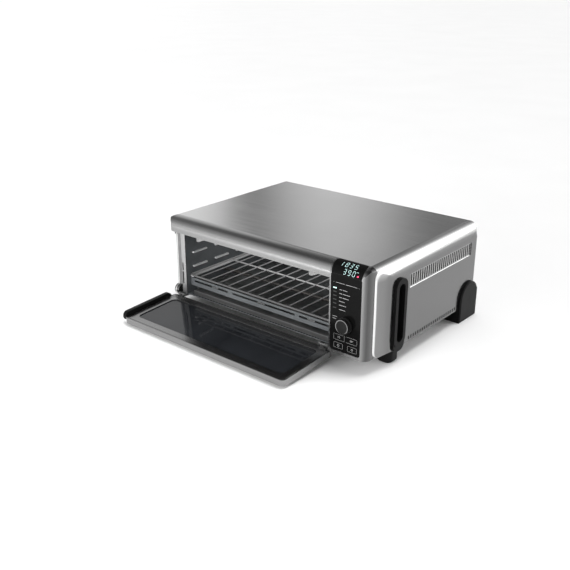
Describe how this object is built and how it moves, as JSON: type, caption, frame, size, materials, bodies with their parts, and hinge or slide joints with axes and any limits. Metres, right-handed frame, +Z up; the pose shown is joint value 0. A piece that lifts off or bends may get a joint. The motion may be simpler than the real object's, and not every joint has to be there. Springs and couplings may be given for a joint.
{
  "type": "toaster oven",
  "caption": "Countertop toaster oven: drop-down glass door, slide-out crumb tray and rack, side control column with dial and keys, tall rear feet.",
  "frame": {"origin": "middle of the footprint with the door open, on the worktop", "axes": "+X right, +Y to the back, +Z up; the door and controls face -Y"},
  "size_m": [0.503, 0.4836, 0.193],
  "materials": {
    "brushed_steel": "satin",
    "satin_silver": "satin",
    "galvanised_steel": "satin",
    "cavity_enamel": "satin",
    "black_steel": "satin",
    "insulation_wool": "matte",
    "plated_screw": "gloss",
    "heater_tube": "satin",
    "white_ceramic": "satin",
    "bright_aluminium": "satin",
    "black_plastic": "satin",
    "motor_steel": "satin",
    "lamp_glass": "gloss",
    "probe_steel": "gloss",
    "gloss_black": "gloss",
    "circuit_board": "satin",
    "chrome": "polished",
    "black_rubber": "matte",
    "door_metal": "satin",
    "dark_glass": "gloss",
    "tray_steel": "satin"
  },
  "bodies": {
    "oven_body": {"top_cover": "brushed_steel", "front_rail": "brushed_steel", "control_bezel": "brushed_steel", "side_cap_left": "satin_silver", "side_cap_right": "satin_silver", "base_pan": "galvanised_steel", "back_panel": "galvanised_steel", "front_frame": "galvanised_steel", "side_channel": "galvanised_steel", "cavity_floor": "cavity_enamel", "cavity_ceiling": "cavity_enamel", "cavity_side_left": "cavity_enamel", "cavity_side_right": "cavity_enamel", "cavity_back": "cavity_enamel", "rack_runners": "galvanised_steel", "tray_runners": "galvanised_steel", "insulation": "insulation_wool", "panel_screws": "plated_screw", "upper_heaters": "heater_tube", "lower_heaters": "heater_tube", "heater_insulators": "white_ceramic", "heater_guard": "cavity_enamel", "heater_brackets": "galvanised_steel", "fan_grille": "cavity_enamel", "fan_housing": "galvanised_steel", "fan_motor": "motor_steel", "lamp_lens": "lamp_glass", "lamp_holder": "white_ceramic", "temp_probe": "probe_steel", "fascia": "gloss_black", "display_module": "gloss_black", "control_board": "circuit_board", "encoder_body": "motor_steel", "power_board": "circuit_board", "cord_gland": "black_plastic", "right_grip": "black_plastic", "rear_feet": "black_plastic", "front_feet": "black_plastic", "foot_pads": "black_rubber", "rear_bumpers": "black_plastic", "hinge_brackets": "galvanised_steel", "hinge_pins": "plated_screw"},
    "door": {"door_frame": "door_metal", "door_inner_frame": "black_steel", "door_glass_outer": "dark_glass", "door_glass_inner": "dark_glass", "door_grip": "black_plastic"},
    "tray": {"crumb_tray": "tray_steel"},
    "rack": {"wire_rack": "chrome"},
    "dial_plunger": {"encoder_sleeve": "plated_screw"},
    "dial": {"knob": "black_plastic", "knob_ring": "chrome", "knob_shaft": "plated_screw"},
    "time_key": {"time_button": "gloss_black"},
    "temp_key": {"temp_button": "gloss_black"},
    "power_key": {"power_button": "gloss_black"},
    "light_key": {"light_button": "gloss_black"},
    "fan": {"fan_wheel": "bright_aluminium", "fan_shaft": "plated_screw", "cooling_fan": "black_plastic"}
  },
  "joints": [
    {"name": "door_hinge", "type": "hinge", "parent": "oven_body", "child": "door", "pos_m": [0, -0.1072, 0.027], "axis": [1, 0, 0], "range_deg": [-93, 0]},
    {"name": "crumb_tray_slide", "type": "slide", "parent": "oven_body", "child": "tray", "axis": [0, -1, 0], "range_m": [0, 0.231]},
    {"name": "rack_slide", "type": "slide", "parent": "oven_body", "child": "rack", "axis": [0, -1, 0], "range_m": [0, 0.19]},
    {"name": "dial_press", "type": "slide", "parent": "oven_body", "child": "dial_plunger", "axis": [0, 1, 0], "range_m": [0, 0.0006], "stiffness_N_per_m": 900},
    {"name": "dial_turn", "type": "hinge", "parent": "dial_plunger", "child": "dial", "pos_m": [0.1945, -0.1292, 0.086], "axis": [0, 1, 0], "continuous": true},
    {"name": "time_press", "type": "slide", "parent": "oven_body", "child": "time_key", "axis": [0, 1, 0], "range_m": [0, 0.001], "stiffness_N_per_m": 500},
    {"name": "temp_press", "type": "slide", "parent": "oven_body", "child": "temp_key", "axis": [0, 1, 0], "range_m": [0, 0.001], "stiffness_N_per_m": 500},
    {"name": "power_press", "type": "slide", "parent": "oven_body", "child": "power_key", "axis": [0, 1, 0], "range_m": [0, 0.001], "stiffness_N_per_m": 500},
    {"name": "light_press", "type": "slide", "parent": "oven_body", "child": "light_key", "axis": [0, 1, 0], "range_m": [0, 0.001], "stiffness_N_per_m": 500},
    {"name": "fan_spin", "type": "hinge", "parent": "oven_body", "child": "fan", "pos_m": [0.19, 0.0788, 0.098], "axis": [1, 0, 0], "continuous": true}
  ]
}
